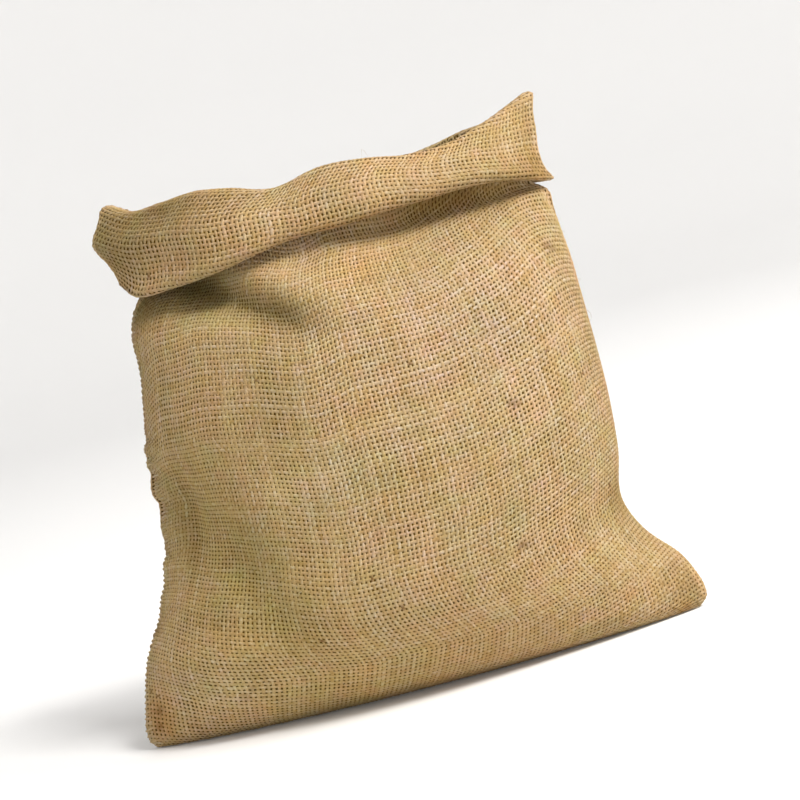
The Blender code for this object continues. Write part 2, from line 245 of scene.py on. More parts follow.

# Stains, dust, lighter and tinted patches, and painted shade and shadow, in millimetres: the middle
# of the patch, its half length and half width, its lean from upright in degrees towards the right,
# its strength and its tint. The cuff's are on its front.
Mark = namedtuple("Mark", "across height half_length half_width lean strength tint")
MARKS = {
    "front": [
        Mark(-141, 17, 17, 9, -8, 0.6, "rust"),
        Mark(-140.5, 21, 3.6, 2.4, 40, 0.75, "soil"),
        Mark(-143, 12.5, 3, 2.2, 40, 0.75, "soil"),
        Mark(-132, 61.5, 3.4, 2.2, 60, 0.7, "soil"),
        Mark(138, 3.5, 3, 6, 0, 0.7, "rust"),
        Mark(75, 136, 1.8, 3.4, 10, 0.9, "soil"),
        Mark(62, 66, 1.6, 3, 10, 0.85, "soil"),
        Mark(114, 204, 1.6, 3.4, 20, 0.9, "soil"),
        Mark(-96.5, 62.8, 1.6, 1.6, 0, 0.8, "soil"),
        Mark(-87, 26.5, 1.6, 1.6, 0, 0.8, "soil"),
        Mark(-92.5, 22.5, 2, 2, 0, 0.6, "soil"),
        Mark(9, 129, 9, 36, -17, 0.8, "pale"),
        Mark(-40, 120, 11, 26, -4, 1, "pale"),
        Mark(-102, 28, 15, 26, 14, 0.9, "pale"),
        # Green tints that are also painted shade, on the shaded left side and in the dent under the cuff.
        Mark(-84, 122, 34, 15, -18, 0.8, "moss"),
        Mark(-70, 70, 40, 16, -25, 0.6, "moss"),
        Mark(-64, 222, 12, 32, 10, 0.8, "moss"),
        # Painted shade in the dent under the cuff, under the cuff's left end, on the dent's flank and down
        # the left side.
        Mark(-66, 230, 18, 8, -60, 0.8, "dusk"),
        Mark(-95, 227, 13, 13, 0, 0.85, "dusk"),
        Mark(-52, 234, 6, 15, 10, 0.55, "dusk"),
        Mark(-22, 207, 17, 9, -62, 0.65, "dusk"),
        Mark(-35, 190, 26, 28, 0, 0.14, "dusk"),
        Mark(-65, 112, 20, 11, 0, 0.25, "dusk"),
        Mark(-94, 74, 12, 9, -25, 0.2, "dusk"),
        # The cuff's shadow on the neck below its right half, painted.
        Mark(69, 241, 10.5, 44, 0, 1, "umber"),
        # Painted shade down the left side, along the right side as it turns away and on the right foot.
        Mark(-101, 112, 32, 9, 6, 0.45, "dusk"),
        Mark(-77, 80, 38, 15, -25, 0.22, "dusk"),
        Mark(127, 120, 100, 9, -4, 0.2, "dusk"),
        Mark(144, 14, 15, 11, 0, 0.45, "dusk"),
        Mark(20, 222, 10, 24, -4, 0.9, "gold"),
        # Warm brown patches: one on the right side, and a band along the bottom edge that is partly rust
        # tone and partly painted shade where the cloth turns under.
        Mark(118, 69, 16, 9, 0, 0.8, "amber"),
        Mark(40, 8, 7, 60, 0, 0.25, "amber"),
        Mark(-46, 126, 14, 22, 0, 0.8, "bright"),
        Mark(-80, 28, 16, 60, 0, 0.7, "bright"),
        Mark(-20, 40, 9, 20, 0, 0.5, "bright"),
        Mark(36, 40, 10, 26, 0, 0.4, "bright"),
        Mark(76, 134, 16, 22, 0, 0.5, "bright"),
        Mark(64, 187, 36, 54, 0, 1, "chalk"),
        Mark(90, 120, 50, 45, 0, 0.5, "chalk"),
        Mark(-80, 80, 90, 55, -10, 1, "straw"),
        Mark(0, 20, 26, 70, 0, 0.8, "straw"),
        Mark(-20, 14, 12, 110, 0, 0.5, "gold"),
    ],
    "cuff": [
        # Painted shade on the cuff: at its left end as it turns away, along its top and low on its right
        # half.
        Mark(-100, 263, 21, 36, 0, 0.52, "dusk"),
        Mark(-40, 266, 8, 34, 0, 0.22, "dusk"),
        Mark(72, 251, 9, 32, 0, 0.18, "dusk"),
        Mark(-72, 273, 9, 28, -4, 0.65, "dusk"),
        # Painted shade under the hem's roll and on the cuff's right end as it turns away.
        Mark(20, 242, 6, 90, 2, 0.7, "amber"),
        Mark(122, 255, 26, 10, 0, 0.6, "amber"),
        Mark(112, 243, 10, 20, 0, 0.5, "amber"),
    ],
    "back": [
        Mark(52, 150, 26, 40, 20, 0.6, "moss"),
        Mark(-60, 60, 30, 40, -20, 0.5, "gold"),
    ],
}

# What each tint multiplies the cloth's colour by, at full strength.
TINTS = {
    "rust": (0.98, 0.76, 0.48),
    "soil": (0.40, 0.29, 0.19),
    # A green tint. On the front's shaded left side and under the cuff it is painted shade as well.
    "moss": (0.90, 0.98, 0.84),
    # Painted shade, dark and greyish.
    "dusk": (0.42, 0.42, 0.27),
    # Painted shadow, warm brown.
    "umber": (0.48, 0.42, 0.23),
    "pale": (1.06, 1.10, 1.20),
    "bright": (1.18, 1.20, 1.25),
    "chalk": (1.0, 1.0, 1.17),
    "straw": (1.0, 1.0, 0.88),
    # Warm brown: a stain in places, and painted shade under the hem's roll, on the cuff's right end and
    # along the bottom edge.
    "amber": (0.72, 0.62, 0.46),
    "gold": (1.04, 0.98, 0.84),
}

# How the yarns lie off their grid. Neighbours drift together, by at most so many turns to a column
# across and radians to a row up, and each yarn wanders by itself, in waves of about so many
# crossings.
Wander = namedtuple("Wander", "across_turn up_turn wave")
SIDEWAYS = Wander(0.11, 0.05, 40.0)
UPWARDS = Wander(0.03, 0.7, 60.0)
TOGETHER = 0.16 * MM  # about how far neighbours drift together
ALONE = 0.10 * MM  # about how far a yarn wanders by itself
EVENED = 10 * MM  # how far along itself a crosswise yarn evens out the folds that it crosses
WAVES = 5  # waves added up along one yarn
WAVE_COUNTS = (0.6, 3.0)  # how many times as often as the stated wave each of them comes
DRIFTS = 7  # waves added up over the whole cloth
DRIFT_COUNTS = (0.3, 1.0)  # and their shares of the most turns across
DRIFT_PHASE = 6.3  # radians

# How uneven a yarn's thickness and tone are: the middle, then how much it varies from yarn to yarn,
# along a yarn in waves of so many crossings, and from crossing to crossing. A tone of 0 is dull and
# 1 is pale.
Uneven = namedtuple("Uneven", "middle by_yarn along wave by_crossing")
THICKNESS = Uneven(1.0, 0.08, 0.07, 25.0, 0.0)
TONE = Uneven(0.5, 0.06, 0.05, 50.0, 0.07)
THICKNESS_LIMITS = (0.62, 1.7)
HEIGHT_LIMITS = (0.8, 1.25)
ROOM_LIMITS = (0.6, 1.1)  # least and most room for a yarn, in units of the usual room
ROOM_POWER = 0.6  # how its width follows its room
SLUBS = 0.5  # thick places for each yarn
SLUB_LENGTHS = (3, 9)  # crossings
SLUB_SWELLS = (0.15, 0.45)
SPECKS = 0.0004  # share of the crossings that are dark specks
YARN_SIDES = 4
FLATNESS = 1.6  # how far the shading of a yarn's sides turns towards its top

# The side seam's stitches: where they start along its edge and the height where they end. Then how
# far the thread lies in from the edge, in reaches, and off the cloth, in lifts, from where a
# stitch enters the front to where it enters the back. Of a pair, the first is the least and the
# second the most, and a tone is its middle and how much it varies.
SEAM_FOOT = 3 * MM
SEAM_TOP = 226 * MM
STITCH_IN = (1.25, 1.0, 0.5, 0.0, -0.5, -1.0, -1.25)
STITCH_OFF = (-0.3, 0.75, 0.8, 0.4, 0.8, 0.75, -0.3)
STITCH_STRAY = 0.25 * MM  # how far a stitch strays from its place along the edge
STITCH_BACK = 0.45  # how much of the slant a stitch has behind
STITCH_REACHES = (0.85, 1.2)
STITCH_SLANTS = (0.6, 1.3)
THREAD_SIDES = 6
THREAD_WIDTHS = (0.8, 1.25)
THREAD_HEIGHT = 0.8  # of its width
THREAD_TONE = (0.62, 0.1)
# The crown paints shade: a yarn or thread is darker on its sides, where it dips and underneath.
THREAD_CROWN = 0.7  # of its underside. A crown of 1 is a yarn's top and 0 its dark side.

# The loose fibres: the shares of the cloth's length where they start, their lengths in millimetres
# and how much they turn, in radians.
FIBRE_STATIONS = 7
FIBRE_STARTS = (0.08, 0.86)
FIBRE_LENGTHS = (3.0, 11.0)
FIBRE_TURN = 1.2
FIBRE_FOOT = 0.5 * MM  # how far off the cloth's middle a fibre starts
FIBRE_HEIGHTS = (1.6, 0.55)  # shape and scale of how far it rises from there, in millimetres
FIBRE_FREE = 0.5  # share of the fibres with one free end
FIBRE_WIDTHS = (0.6, 1.3)
FIBRE_TAPER = (1.05, 0.6)  # width at the root, and how much of it is gone at the tip
FIBRE_TONE = (0.75, 0.15)
# A fibre's underside is darkened by the same painted shade.
FIBRE_CROWN = 0.9

# The finish of the yarns and of the dark sheet of painted shade between them. A noise is its scale, for
# metres, and its detail.
WHITE = (1.0, 1.0, 1.0, 1.0)
FINE_NOISE = (900.0, 3.0)
CAST_NOISE = (22.0, 2.0)
FLECK_NOISE = (110.0, 1.0)
SHADE_SHEET_NOISE = (400.0, 2.0)
FINE_SHARE = 0.7  # how much of the range of colours the fine fibres of one yarn cover
YARN_STOPS = (0.1, 0.5, 0.9)
CAST_STOPS = (0.36, 0.64)
SHADE_SHEET_STOPS = (0.3, 0.7)
SHADE_SHEET_LEVELS = (0.6, 1.6)
YARN_SPECULAR = 0.25
YARN_ROUGHNESS = (0.75, 0.95)
YARN_BUMP = 0.35
YARN_BUMP_DEPTH = 0.2 * MM
SHADE_SHEET_SPECULAR = 0.1
SHADE_SHEET_ROUGHNESS = 1.0

# The stage, in metres and degrees: how much wider and higher each ring of the floor's curved edge
# is than the last, the lights, the place that they are aimed at, and the camera.
FLOOR_SIDES = 96
FLOOR_RINGS = ((1.15, 0.03), (1.13, 0.14), (1.1, 0.3), (1.06, 0.5), (1.03, 0.8), (1.0, 1.6))
FLOOR_COLOUR = (0.86, 0.86, 0.86, 1.0)
FLOOR_ROUGHNESS = 0.9
Lamp = namedtuple("Lamp", "name place size colour")
KEY_LAMP = Lamp("key", (1.05, -1.05, 1.93), 0.6, (1.0, 0.98, 0.95))
SIDE_LAMP = Lamp("side", (1.75, -0.47, 1.68), 0.7, (1.0, 0.98, 0.96))
LIT_PLACE = (0.0, 0.0, 0.15)
CAMERA_AIM = (0.0210, 0.0, 0.1460)
CAMERA_DISTANCE = 1.149
CAMERA_ELEVATION = 6.0
CAMERA_ROLL = 14.6
CAMERA_LENS = 100.0  # millimetres
CAMERA_SENSOR = 36.0  # millimetres

# One level of the cloth: how far across the footprint it lies, as a share, how far it stands off
# the neck, and its height.
Level = namedtuple("Level", "spread out height")


def curve(places, values, at):
    """A smooth curve through (places, values), read at each place in at."""
    slopes = np.gradient(values, places)
    index = np.clip(np.searchsorted(places, at) - 1, 0, len(places) - 2)
    step = places[index + 1] - places[index]
    part = np.clip((at - places[index]) / step, 0.0, 1.0)
    rest = 1.0 - part
    through = values[index] * (1 + 2 * part) * rest**2 + values[index + 1] * (1 + 2 * rest) * part**2
    return through + step * part * rest * (slopes[index] * rest - slopes[index + 1] * part)


def read(table, place, name, at, unit=MM):
    """The named column of a table, read smoothly along its place column."""
    places = np.array([getattr(row, place) for row in table]) * MM
    values = np.array([getattr(row, name) for row in table]) * unit
    return curve(places, values, at)


def growth(limits, at):
    """0 below the first limit, 1 above the second and smooth between them."""
    part = np.clip((at - limits[0]) / (limits[1] - limits[0]), 0.0, 1.0)
    return part * part * (3 - 2 * part)


def panel_line(panel, share, level):
    """One level's points along a panel. The share runs from -1 at the left end to 1 at the right."""
    left = read(SECTIONS, "height", "left", level.height) - TIP_GAIN * level.out
    right = read(SECTIONS, "height", "right", level.height) + TIP_GAIN * level.out
    depth = read(SECTIONS, "height", panel, level.height) + level.out
    left_point = read(SECTIONS, "height", "left_point", level.height, 1.0)
    right_point = read(SECTIONS, "height", "right_point", level.height, 1.0)
    point = np.where(share < 0, left_point, right_point)
    x = (left + right) / 2 + share * (right - left) / 2
    y = level.spread * depth * (1 - share**2) ** point
    return np.column_stack([x, -y if panel == "front" else y, level.height])


def path_length(lines):
    """The length of cloth that each point has climbed by the last of these lines."""
    return sum(np.linalg.norm(above - below, axis=1) for below, above in zip(lines, lines[1:]))


def panel_levels(panel, share):
    """Every level of a panel, from the bottom seam to the cloth's cut edge inside the cuff."""
    cuff = CUFFS[panel]
    ends = cuff[0].across * MM, cuff[-1].across * MM
    across = ends[0] + (ends[1] - ends[0]) * (share + 1) / 2
    none = np.zeros_like(share)
    stand_off = read(cuff, "across", "stand_off", across)
    hem_radius = (stand_off - TURN_IN_OFF) / 2
    top = read(cuff, "across", "rim", across) - RIM_RADIUS
    low = read(cuff, "across", "hem", across) + hem_radius
    turns = np.linspace(0, np.pi, BEND_ROWS + 1)[1:]
    levels = [Level(part / BASE_ROWS, none, none + FOOT) for part in range(BASE_ROWS)]
    climb = np.linspace(0, 1, WALL_ROWS) ** WALL_OPENING
    levels += [Level(1.0, none, none + FOOT + (WALL_TOP - FOOT) * part) for part in climb]
    for part in np.linspace(0, 1, NECK_ROWS + 1)[1:]:
        levels.append(Level(1.0, none, WALL_TOP + (top - WALL_TOP) * part))
    for turn in turns:
        out = none + RIM_RADIUS * (1 - np.cos(turn))
        levels.append(Level(1.0, out, top + RIM_RADIUS * np.sin(turn)))
    for part in np.linspace(0, 1, CUFF_ROWS + 1)[1:]:
        out = 2 * RIM_RADIUS + (stand_off - 2 * RIM_RADIUS) * np.sin(part * np.pi / 2)
        levels.append(Level(1.0, out, top + (low - top) * part))
    for turn in turns:
        out = stand_off - hem_radius * (1 - np.cos(turn))
        levels.append(Level(1.0, out, low - hem_radius * np.sin(turn)))
    climbed = path_length([panel_line(panel, share, level) for level in levels])
    turn_in = np.clip(CLOTH_LENGTH - climbed, TURN_IN[0] * (top - low), TURN_IN[1] * (top - low))
    for part in np.linspace(0, 1, TURN_IN_ROWS + 1)[1:]:
        levels.append(Level(1.0, none + TURN_IN_OFF, low + turn_in * part))
    return levels


def spaced_evenly(points, parts):
    """The same line divided into that many equal lengths of cloth."""
    steps = np.linalg.norm(np.diff(points, axis=0), axis=1)
    travelled = np.concatenate([[0.0], np.cumsum(steps)])
    stations = np.linspace(0.0, travelled[-1], parts + 1)
    return np.column_stack([np.interp(stations, travelled, axis) for axis in points.T])


def reach_of(patch, points):
    """How strongly a fold or a mark acts at each point: 1 at its middle and 0 well outside it."""
    lean = np.radians(patch.lean)
    across = points[..., 0] - patch.across * MM
    height = points[..., 2] - patch.height * MM
    along = height * np.cos(lean) + across * np.sin(lean)
    beside = across * np.cos(lean) - height * np.sin(lean)
    return np.exp(-((along / (patch.half_length * MM)) ** 2) - (beside / (patch.half_width * MM)) ** 2)


def fold_rise(folds, panel, points):
    """How far the folds of one panel lift the cloth at each point."""
    rise = np.zeros(points.shape[:-1])
    for fold in folds:
        if fold.panel == panel:
            rise += fold.rise * MM * reach_of(fold, points)
    return rise


def pucker_shift(rows):
    """How far the side seam's sewing draws the cloth to the right at each point."""
    shift = np.zeros(rows.shape[:2])
    inward = rows[..., 0] - rows[:, :1, 0]
    for pucker in SIDE_PUCKERS:
        up = (rows[..., 2] - pucker.height * MM) / (pucker.reach * MM)
        shift += pucker.depth * MM * np.exp(-(up**2) - (inward / (pucker.inward * MM)) ** 2)
    return shift


def unit(vectors):
    """The same directions with a length of one."""
    return vectors / np.maximum(np.linalg.norm(vectors, axis=-1, keepdims=True), TINY)


def cloth_rows(panel_parts):
    """The middle of the cloth as closed rows of points, with its folds, centred on the origin."""
    share = -np.cos(np.linspace(0, np.pi, DENSE))
    panels = {}
    for panel in ("front", "back"):
        lines = [panel_line(panel, share, level) for level in panel_levels(panel, share)]
        panels[panel] = np.array([spaced_evenly(line, panel_parts) for line in lines])
    rows = np.concatenate([panels["front"][:, :-1], panels["back"][:, :0:-1]], axis=1)
    rise = np.zeros(rows.shape[:2])
    for panel, span in (("front", slice(0, panel_parts)), ("back", slice(panel_parts, None))):
        points = rows[:, span]
        mouth = growth(MOUTH_GROWTH, points[..., 2])
        mouth[RIM:] = 1.0
        wall = growth(FOLD_GROWTH, points[..., 2]) * (1 - mouth)
        rise[:, span] = wall * fold_rise(WALL_FOLDS + CREASES, panel, points)
        rise[:, span] += mouth * fold_rise(MOUTH_FOLDS, panel, points)
    along = np.roll(rows, -1, axis=1) - np.roll(rows, 1, axis=1)
    rows[..., :2] += unit(np.stack([along[..., 1], -along[..., 0]], axis=-1)) * rise[..., None]
    rows[..., 0] += pucker_shift(rows)
    level = rows[..., :2].reshape(-1, 2)
    rows[..., :2] -= (level.min(axis=0) + level.max(axis=0)) / 2
    return rows


def slipped(table, level, beside):
    """How far a table moves the yarns at each level, between the rows, and at each column."""
    rows, *columns = np.transpose(table)
    across = (len(columns) - 1) * (1 - np.abs(np.arange(beside) - beside / 2) / (beside / 2))
    moved = np.transpose([np.interp(level, rows, column) for column in columns]) * MM
    return np.array([np.interp(across, np.arange(len(row)), row) for row in moved])


def slide_columns(rows):
    """The same rows with their columns moved round the bag."""
    levels, beside = rows.shape[:2]
    at = np.arange(beside) + slipped(SHIFTED, np.arange(levels), beside) / CLOTH_FLAT[0] * beside
    slid = np.empty(rows.shape)
    for row, places in enumerate(at):
        for axis in range(3):
            slid[row, :, axis] = np.interp(places, np.arange(beside), rows[row, :, axis], period=beside)
    return slid


def evened_round(lengths):
    """The same lengths of cloth, evened out round the bag as its stiff crosswise yarns do."""
    reach = EVENED / CLOTH_FLAT[0] * lengths.shape[1]
    beside = np.arange(-int(3 * reach), int(3 * reach) + 1)
    weights = np.exp(-0.5 * (beside / reach) ** 2)
    return sum(
        weight * np.roll(lengths, turn, axis=1) for turn, weight in zip(beside, weights / weights.sum())
    )


def climb_evenly(rows, shares, slip):
    """Each column of the rows, read at these shares of its length from the bottom seam.

    The slip's table lowers the places. The second result is the rows where they lie.
    """
    steps = evened_round(np.linalg.norm(np.diff(rows, axis=0), axis=2))
    travelled = np.concatenate([np.zeros((1, rows.shape[1])), np.cumsum(steps, axis=0)])
    level = np.arange(len(rows))
    even = travelled + slipped(slip, level, rows.shape[1])
    levels = np.empty((len(shares), rows.shape[1]))
    places = np.empty((*levels.shape, 3))
    for column in range(rows.shape[1]):
        levels[:, column] = np.interp(shares * travelled[-1, column], even[:, column], level)
        for axis in range(3):
            places[:, column, axis] = np.interp(levels[:, column], level, rows[:, column, axis])
    return places, levels


Cloth = namedtuple("Cloth", "place across up out level")


def cloth_at(rows, shares, slip):
    """The cloth's places and directions at these shares of its length: across, up and out of it."""
    place, level = climb_evenly(rows, shares, slip)
    across = unit(np.roll(place, -1, axis=1) - np.roll(place, 1, axis=1))
    up = unit(np.gradient(place, axis=0))
    out = unit(np.cross(across, up))
    return Cloth(place, across, up, out, level)


def on_cloth(cloth, row, column):
    """The cloth's place, outward direction and level at any rows and columns, also between them."""
    low = np.clip(np.floor(row).astype(int), 0, len(cloth.place) - 2)
    left = np.floor(column).astype(int)
    up, over = (row - low)[..., None], (column - left)[..., None]
    beside = cloth.place.shape[1]
    found = []
    for field in (cloth.place, cloth.out, cloth.level[..., None]):
        below = field[low, left % beside] * (1 - over) + field[low, (left + 1) % beside] * over
        above = field[low + 1, left % beside] * (1 - over) + field[low + 1, (left + 1) % beside] * over
        found.append(below * (1 - up) + above * up)
    return found[0], unit(found[1]), found[2][..., 0]


def tint_at(places, level):
    """The colour that the marks on the cloth multiply it by, at each place and level: stains, tints and
    painted shade.
    """
    rolled = growth((RIM, CUFF), level)
    front = places[..., 1] < 0
    lies_on = {"front": front * (1 - rolled), "cuff": front * rolled, "back": 1 - front}
    tint = np.ones(places.shape)
    for panel, marks in MARKS.items():
        for mark in marks:
            strength = mark.strength * reach_of(mark, places) * lies_on[panel]
            tint *= 1 - strength[..., None] * (1 - np.array(TINTS[mark.tint]))
    return tint


def waves(random, lines, stations, wave):
    """Smooth values of about -1 to 1 along each line, in waves of about this many stations."""
    total = np.zeros((lines, stations))
    turn = 2 * np.pi * np.arange(stations) / stations
    for _ in range(WAVES):
        cycles = np.maximum(1, np.round(stations / wave * random.uniform(*WAVE_COUNTS, lines)))
        phase = random.uniform(0, 2 * np.pi, lines)
        total += np.sin(turn * cycles[:, None] + phase[:, None])
    return total / WAVES**0.5


def drift(random, shape, wander):
    """Smooth values of about -1 to 1 that change over a few yarns, up the cloth and across it."""
    up, across = np.meshgrid(np.arange(shape[0]), np.arange(shape[1]), indexing="ij")
    total = np.zeros(shape)
    for _ in range(DRIFTS):
        cycles = np.round(random.uniform(*DRIFT_COUNTS) * wander.across_turn * shape[1])
        turn = 2 * np.pi * cycles / shape[1]
        climb = random.uniform(-1, 1) * wander.up_turn
        total += np.sin(turn * across + climb * up + random.uniform(0, DRIFT_PHASE))
    return total / DRIFTS**0.5


def number(name, description, default, least=0, most=1000):
    """A whole number that the user can change."""
    return bpy.props.IntProperty(
        name=name, description=description, default=default, min=least, max=most
    )


def amount(name, description, default, unit="LENGTH"):
    """A length that the user can change, or an amount with another unit."""
    return bpy.props.FloatProperty(name=name, description=description, default=default, unit=unit)


def colour(name, description, *default):
    """A colour that the user can change, or one that other colours are multiplied by."""
    return bpy.props.FloatVectorProperty(
        name=name,
        description=description,
        default=(*default, 1.0),
        size=4,
        subtype="COLOR",
        min=0.0,
        max=1.0,
    )


class BagCloth(bpy.types.PropertyGroup):
    """Sizes and colours of the bag's cloth."""

    panel_yarns: number("Lengthwise yarns", "Lengthwise yarns across each panel", 132, 20, 160)
    picks: number(
        "Crosswise yarns", "Crosswise yarns from the bottom seam to the cut edge", 160, 20, 200
    )
    yarn_width: amount("Yarn width", "Width of a yarn as it lies in the cloth", 1.60 * MM)
    yarn_height: amount("Yarn height", "Height of a yarn as it lies in the cloth", 0.52 * MM)
    crimp: amount(
        "Crimp", "How far a yarn rises above the cloth's middle where it passes over another", 0.13 * MM
    )
    # A dark sheet at the cloth's middle paints shade into the gaps between the yarns. This is its thickness.
    shade_sheet_thickness: amount(
        "Shade sheet thickness", "Thickness of the matted fibres that close the gaps between the yarns", 0.06 * MM
    )
    seed: number("Seed", "Number that the uneven yarns are drawn from", 11)
    dull_yarn: colour("Dull yarn", "Colour of the dullest yarns", 0.31, 0.193, 0.065)
    plain_yarn: colour("Plain yarn", "Colour of most yarns", 0.445, 0.316, 0.170)
    pale_yarn: colour("Pale yarn", "Colour of the palest yarns", 0.55, 0.447, 0.34)
    # The colour of that dark sheet of painted shade.
    shade_sheet: colour("Shade sheet", "Colour of the matted fibres between the yarns", 0.062, 0.031, 0.004)
    green_cast: colour(
        "Green cast", "What the yarns are multiplied by where the cloth looks greenish", 0.90, 0.94, 0.86
    )
    warm_cast: colour(
        "Warm cast", "What the yarns are multiplied by where the cloth looks warm", 1.0, 0.97, 0.93
    )
    fleck: bpy.props.FloatVectorProperty(
        name="Flecks",
        description="How much the cloth's red, green and blue vary from patch to patch",
        size=3,
        min=0.0,
        max=1.0,
        default=(0.20, 0.19, 0.44),
    )
    # Painted shade on the yarns' sides and where they dip: the colour that they are multiplied by there.
    side_shade: colour(
        "Yarn sides", "What a yarn is multiplied by on its sides and where it dips", 0.84, 0.78, 0.64
    )


class BagSewing(bpy.types.PropertyGroup):
    """Sizes of the side seam's thread and of the loose fibres."""

    pitch: amount("Stitch pitch", "Distance from one stitch of the side seam to the next", 3.0 * MM)
    reach: amount("Stitch reach", "How far a stitch reaches in from the edge on each side", 3.8 * MM)
    slant: amount("Stitch slant", "How much higher a stitch's inner end is than its outer one", 1.7 * MM)
    thread: amount("Thread width", "Width of the sewing thread", 0.85 * MM)
    lift: amount("Thread lift", "How far the thread's middle lies off the cloth's middle", 0.95 * MM)
    fibres: number("Loose fibres", "Number of loose fibres that stand off the cloth", 420)
    fibre_width: amount("Fibre width", "Width of a loose fibre", 0.13 * MM)
    seed: number("Seed", "Number that the uneven stitches and fibres are drawn from", 5)


class BagStage(bpy.types.PropertyGroup):
    """Sizes of the stage and strengths of its lights."""

    floor_radius: amount("Floor radius", "Radius of the level part of the floor", 2.0)
    floor_glow: amount(
        "Floor glow", "Light that the white floor and its far wall give off themselves", 0.03, "NONE"
    )
    key_power: amount("Key light", "Power of the main light", 48.0, "POWER")
    side_power: amount("Side light", "Power of the light from the right", 28.0, "POWER")
    sky_strength: amount("Sky", "Strength of the even light from all round", 0.04, "NONE")


def finish_piece(piece, material):
    """Give a piece its material and let it ride on the bag."""
    piece.data.materials.clear()
    piece.data.materials.append(material)
    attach(piece, "root")
    return piece


def add_mesh(name, points, faces):
    """A mesh object from arrays of points and of four-cornered faces."""
    mesh = bpy.data.meshes.new(name)
    mesh.from_pydata(points.tolist(), [], faces.tolist())
    mesh.validate()
    mesh.shade_smooth()
    piece = bpy.data.objects.new(name, mesh)
    bpy.context.scene.collection.objects.link(piece)
    return piece


def tube_faces(lines, stations, sides, closed):
    """Faces of tubes whose points run station by station, with the place of each corner in its tube."""
    line, station, side = np.meshgrid(
        np.arange(lines), np.arange(stations if closed else stations - 1), np.arange(sides), indexing="ij"
    )

    def point(line, station, side):
        return ((line * stations + station % stations) * sides + side % sides).ravel()

    corners = ((0, 0), (0, 1), (1, 1), (1, 0))
    faces = [np.column_stack([point(line, station + on, side + over) for on, over in corners])]
    along = [np.column_stack([(station + on).ravel() for on, _ in corners])]
    around = [np.column_stack([((side + over) / sides + line).ravel() for _, over in corners])]
    if not closed:
        every = np.arange(lines)
        for end in (0, stations - 1):
            for turn in range(1, sides // 2):
                cap = [0, 2 * turn + 1, 2 * turn, 2 * turn - 1]
                if end:
                    cap.reverse()
                faces.append(np.column_stack([point(every, end, corner) for corner in cap]))
                along.append(np.full((lines, 4), end))
                around.append(np.column_stack([every + corner / sides for corner in cap]))
    return np.concatenate(faces), np.concatenate(along), np.concatenate(around)


def add_tubes(name, centre, side, out, width, height, sides=YARN_SIDES, closed=False, flatness=0.0):
    """Yarns or threads as tubes, flattened to a width and height at each station.

    The flatness turns the shading of a tube's sides towards its top above and its bottom below.
    """
    turn = np.arange(sides)[:, None] * 2 * np.pi / sides
    wide = (side * width[..., None] / 2)[:, :, None]
    high = (out * height[..., None] / 2)[:, :, None]
    ring = centre[:, :, None] + wide * np.cos(turn) + high * np.sin(turn)
    lines, stations = centre.shape[:2]
    faces, along, around = tube_faces(lines, stations, sides, closed)
    piece = add_mesh(name, ring.reshape(-1, 3), faces)
    places = piece.data.uv_layers.new(name="OFBake")
    span = stations if closed else stations - 1
    places.uv.foreach_set("vector", np.stack([along / span, around / lines], axis=-1).ravel())
    if flatness:
        facing = []
        for half in (1, -1):
            lean = np.clip(np.sin(turn) + half * flatness, -1, 1)
            facing.append(unit(side[:, :, None] * np.cos(turn) + out[:, :, None] * lean).reshape(-1, 3))
        tubes = lines * span * sides
        above = (np.arange(tubes) % sides < sides / 2)[:, None, None]
        normals = np.zeros((*faces.shape, 3))
        normals[:tubes] = np.where(above, facing[0][faces[:tubes]], facing[1][faces[:tubes]])
        piece.data.normals_split_custom_set(normals.reshape(-1, 3))
    return piece


def set_numbers(piece, name, values):
    """Keep one number for each point of a piece, for its material to read."""
    attribute = piece.data.attributes.new(name, "FLOAT", "POINT")
    attribute.data.foreach_set("value", np.ascontiguousarray(values, dtype=np.float32).ravel())


def set_tint(piece, tint):
    """Keep one tint for each point of a piece, for its material to read."""
    attribute = piece.data.attributes.new("tint", "FLOAT_COLOR", "POINT")
    values = np.concatenate([tint, np.ones((*tint.shape[:-1], 1))], axis=-1)
    attribute.data.foreach_set("color", np.ascontiguousarray(values, dtype=np.float32).ravel())


Threads = namedtuple("Threads", "path out level width height tone")


def add_threads(name, threads, crown):
    """Threads as tubes along their paths, with what their material reads. The crown is the least, on the
    underside, which painted shade darkens most.
    """
    ahead = unit(np.gradient(threads.path, axis=1))
    side = unit(np.cross(threads.out, ahead))
    over = np.cross(ahead, side)
    piece = add_tubes(name, threads.path, side, over, threads.width, threads.height, THREAD_SIDES)
    turn = np.sin(np.arange(THREAD_SIDES) * 2 * np.pi / THREAD_SIDES)
    shade = crown + (1 - crown) * (turn + 1) / 2 + np.zeros((*threads.tone.shape, 1))
    set_numbers(piece, "crown", shade)
    set_numbers(piece, "tone", np.repeat(threads.tone[..., None], THREAD_SIDES, axis=2))
    tint = tint_at(threads.path, threads.level)
    set_tint(piece, np.repeat(tint[:, :, None], THREAD_SIDES, axis=2))
    return piece


def cloth_by_millimetre(settings):
    """The cloth's places and directions at every millimetre of its length."""
    shares = np.linspace(0, 1, round(CLOTH_LENGTH / MM) + 1)
    return cloth_at(cloth_rows(2 * settings.panel_yarns), shares, NO_SLIP)


